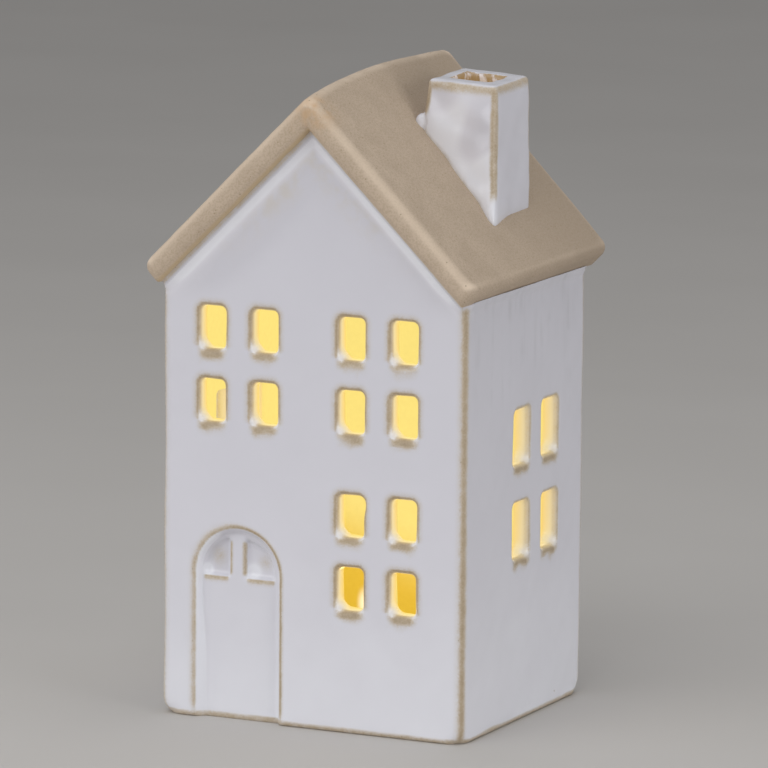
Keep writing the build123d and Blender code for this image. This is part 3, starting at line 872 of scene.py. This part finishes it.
def make_house():
    """Walls: glazed outside, lit inside, with clay showing where the glaze ran thin, and painted light and
    shade on the glaze.
    """
    skin = shell_skin()
    points = skin.points
    x, y, z = points.T
    gap, _, _, depth = pane_fields(points)
    drop = below_roof(points)
    thin = step(drop, 3.0, 5.0) * (1 - step(drop, 6.0, 12.0)) * step(z, 122.0, 150.0)
    thin *= y < -half_depth + 3
    at_side = in_side_wall(points)
    # Painted lamp light on the panes' reveals, strongest towards the chamber
    reveal_lamplight = 0.6 * step(depth, 0.2, 2.2) + 0.4 * step(depth, 1.5, 4.8)
    reveal_lamplight = np.where(at_side, np.maximum(0.95 * reveal_lamplight, 0.34 * step(depth, -0.2, 0.8)), reveal_lamplight)
    skin.keep(
        bare=house_wear_and_shadow(points),
        thin=thin,
        runs=step(z, 70.0, 118.0) * step(np.abs(x), half_width - 2.0, half_width - 0.6),
        glow=reveal_lamplight * step(gap, np.where(at_side, 1.1, 0.7), 0.2) * (1 - 0.9 * pane_pools_and_glints(points)),
        # Painted shade: glaze greyer towards the top, plus the painted highlights and shade of the pools,
        # cove and hollows
        shade=0.05 + 0.93 * z / gable_apex + glaze_pools_and_painted_light(points),
    )
    inside = in_chamber(skin.centres())
    skin.points += shell_shift(points)
    skin.write()
    finished_piece("house_shell", skin.mesh, "house_body", (glaze, chamber), inside)


def make_roof():
    """Bare slab with soft, slightly lumpy edges."""
    skin = Skin(even_mesh("roof", roof_voxel))
    skin.relax(slab_passes)
    normal = skin.normals()
    points = skin.points.copy()
    away = skin.blurred(points, 18) - points
    # Pale edges: wear, with a painted highlight that grows on edges facing up and fades along the side
    # eaves
    worn_and_highlight = step(-(away * normal).sum(1), 0.08, 0.6) * (0.1 + 0.78 * step(normal[:, 2], 0.0, 0.5))
    at_eave = step(np.abs(points[:, 0]), half_width, half_width + 4)
    worn_and_highlight *= 1 - 0.6 * at_eave * (points[:, 1] > -half_depth)
    bloom = bell(points, (1.6, -half_depth - 3, gable_apex + 5), (5.0, 4.0, 5.0))
    drop = below_roof(points) * (points[:, 1] < -half_depth)
    stain = step(drop, -1.0, -0.3) * (drop < 0)
    # Painted highlight: the lower edge of the front fascia paler, against the shade there
    worn_and_highlight = np.maximum(worn_and_highlight, 0.2 * step(drop, -2.2, -0.6) * (drop < 0))
    skin.push(unevenness(points, roof_waves))
    skin.keep(bare=worn_and_highlight, thin=bloom, runs=stain)
    centres = skin.centres()
    inside = within_walls(centres) & (below_roof(centres) > -0.6)
    choice = np.where(in_flue(centres), 2, inside)
    finished_piece("roof_slab", skin.mesh, "roof", (bare_clay, chamber, flue), choice)


def foot_of_chimney(mesh, side):
    """Lowest point of the chimney's front edge on one side, -1 for the left and 1 for the right."""
    points = Skin(mesh).points
    edge = np.array(chimney_middle) + (side * chimney_half[0], -chimney_half[1])
    near = np.linalg.norm(points[:, :2] - edge, axis=1) < 2.5
    return np.array([*edge, points[near, 2].min()])


def make_chimney():
    """Hand-cut glazed stack with uneven faces, a lump on its front, a toe at its front corner and a bead
    of glaze on the left."""
    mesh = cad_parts["chimney"].data
    toe_place = foot_of_chimney(mesh, 1)
    bead_place = foot_of_chimney(mesh, -1) + bead_offset
    skin = Skin(even_mesh("chimney", chimney_voxel, bead_place, bead_radii))
    skin.relax(chimney_passes, outward=0.0)
    normal = skin.normals()
    turn = skin.blurred(2 * np.abs(normal[:, :1] * normal[:, 1:2]), 14)[:, 0]
    skin.points -= seam_overlap * step(-normal[:, 2], 0.1, 0.5)[:, None] * (0, 0, 1)
    toe = bell(skin.points, toe_place, (6.0, 6.0, 9.0))
    skin.points += toe[:, None] * toe_reach
    x, _, z = skin.points.T
    left = step(x, chimney_middle[0] - 4, chimney_middle[0] - 10)
    skin.points[:, 0] += stack_lean * left * (2 * (z - bead_place[2]) / (z.max() - bead_place[2]) - 1)
    skin.write()
    points = skin.points.copy()
    bead = np.linalg.norm((points - bead_place) / bead_radii, axis=1) < 1.3
    ahead = step(-skin.normals()[:, 1], 0.3, 0.8)
    uneven = (0.10 + 0.26 * ahead) * waves(points, 13.0, 24) + 0.04 * waves(points, 6.0, 22)
    uneven += lump_height * ahead * bell(points, lump_place, lump_reach)
    skin.push(np.where(bead, 0, uneven))
    normal = skin.normals()
    level = np.hypot(normal[:, 0], normal[:, 1])
    top = points[normal[:, 2] > 0.9]
    plane = np.linalg.lstsq(np.c_[top[:, :2], np.ones(len(top))], top[:, 2], rcond=None)[0]
    drop = np.c_[points[:, :2], np.ones(len(points))] @ plane - points[:, 2]
    band = 0.6 * step(drop, 4.2, 1.1) * step(drop, -0.2, 0.6) * step(level, 0.2, 0.7)
    edge = 0.66 * step(turn, 0.10, 0.58) * step(level, 0.5, 0.9) * step(toe, 0.8, 0.35)
    bare = np.where(in_flue(points) | bead, 0, np.maximum(band, edge))
    none = np.zeros(len(points))
    # Painted light: front faces whiter with a painted sheen, greyer towards the top, and whiter at the toe
    painted_front_light = (0.6 + 0.3 * waves(points, 14.0, 23) - 0.45 * step(points[:, 2], 150.0, 160.0)) * ahead
    skin.keep(bare=bare, thin=none, runs=none, glow=none, shade=0.5 - 0.4 * toe - painted_front_light)
    choice = in_flue(skin.centres())
    finished_piece("chimney_stack", skin.mesh, "chimney", (glaze, flue), choice)


def dress_lamp():
    """Materials of the CAD nodes that stay as they are."""
    white = moulded("white_plastic", *white_tones, roughness=0.38)
    ring = moulded("soft_ring", *ring_tones, roughness=0.55, grain_size=0.4)
    steel = worked_metal("cell_steel", *steel_tones, roughness=0.22, stretch=(1, 0.1, 1))
    nickel = worked_metal("contact_metal", *nickel_tones, roughness=0.25, stretch=(0.15, 1, 1))
    screw = worked_metal("screw_steel", *screw_tones, roughness=0.3)
    case = worked_metal("switch_case", *case_tones, roughness=0.3, stretch=(1, 0.2, 1))
    dark = moulded("dark_plastic", *dark_tones, roughness=0.42)
    finishes = {
        "grip_ring": ring,
        "lamp_housing": white,
        "battery_cover": white,
        "diffuser_dome": milky_plastic(),
        "cell_lower": steel,
        "cell_upper": steel,
        "contact_leaf": nickel,
        "contact_side": nickel,
        "led_lead_left": nickel,
        "led_lead_right": nickel,
        "circuit_board": board_laminate(),
        "board_screw_front": screw,
        "board_screw_back": screw,
        "led": diode_lens(),
        "resistor": chip_finish(),
        "switch_body": case,
        "switch_lever": dark,
        "switch_knob": dark,
    }
    for node, finish in finishes.items():
        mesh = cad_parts[node].data
        mesh.materials.clear()
        mesh.materials.append(finish)


# Stage
def make_floor():
    """Plain pale floor, wide enough to fill the view."""
    mesh = bpy.data.meshes.new("floor")
    reach = floor_reach * mm
    corners = [(-reach, -reach, 0), (reach, -reach, 0), (reach, reach, 0), (-reach, reach, 0)]
    mesh.from_pydata(corners, [], [(0, 1, 2, 3)])
    floor = bpy.data.objects.new("floor", mesh)
    bpy.context.scene.collection.objects.link(floor)
    finish = Finish("pale_floor", Roughness=0.8, Specular_IOR_Level=0.2)
    cloud = finish.noise(120.0)
    finish.to("Base Color", finish.ramp(cloud, (0.3, floor_dark), (0.7, floor_pale)))
    mesh.materials.append(finish.material)


def make_lights():
    """Soft boxes that face the middle of the house, in an even pale surround."""
    aim = Vector(camera_aim) * mm
    for name, (place, edge, power) in soft_boxes.items():
        lamp = bpy.data.lights.new(name, "AREA")
        lamp.shape = "SQUARE"
        lamp.size = edge
        lamp.energy = power
        light = bpy.data.objects.new(name, lamp)
        light.location = place
        light.rotation_mode = "QUATERNION"
        light.rotation_quaternion = (aim - Vector(place)).to_track_quat("-Z", "Y")
        light.visible_camera = False
        bpy.context.scene.collection.objects.link(light)
    world = bpy.data.worlds.new("studio")
    bpy.context.scene.world = world
    world.use_nodes = True
    surround = world.node_tree.nodes["Background"]
    surround.inputs["Color"].default_value = surround_colour
    surround.inputs["Strength"].default_value = surround_strength


def make_camera():
    """Camera at the photograph's angle."""
    flat = math.cos(camera_elevation)
    across = math.sin(camera_azimuth)
    ahead = math.cos(camera_azimuth)
    back = Vector((across * flat, -ahead * flat, math.sin(camera_elevation)))
    right = Vector((ahead, across, 0))
    up = back.cross(right)
    turned_right = right * math.cos(camera_roll) + up * math.sin(camera_roll)
    turned_up = up * math.cos(camera_roll) - right * math.sin(camera_roll)
    eye = Vector(camera_aim) * mm + back * camera_distance * mm
    lens = bpy.data.cameras.new("camera")
    lens.lens = camera_lens
    lens.sensor_width = camera_sensor
    lens.clip_start, lens.clip_end = camera_clip
    camera = bpy.data.objects.new("camera", lens)
    columns = Matrix((turned_right, turned_up, back)).transposed().to_4x4()
    camera.matrix_world = Matrix.Translation(eye) @ columns
    bpy.context.scene.collection.objects.link(camera)
    bpy.context.scene.camera = camera


# Build
glaze = glazed_stoneware()
chamber = lit_chamber()
flue = lit_flue()
bare_clay = bare_stoneware()
make_camera()
make_lights()
make_floor()
make_house()
make_roof()
make_chimney()
dress_lamp()
bpy.context.scene.view_settings.view_transform = "Standard"
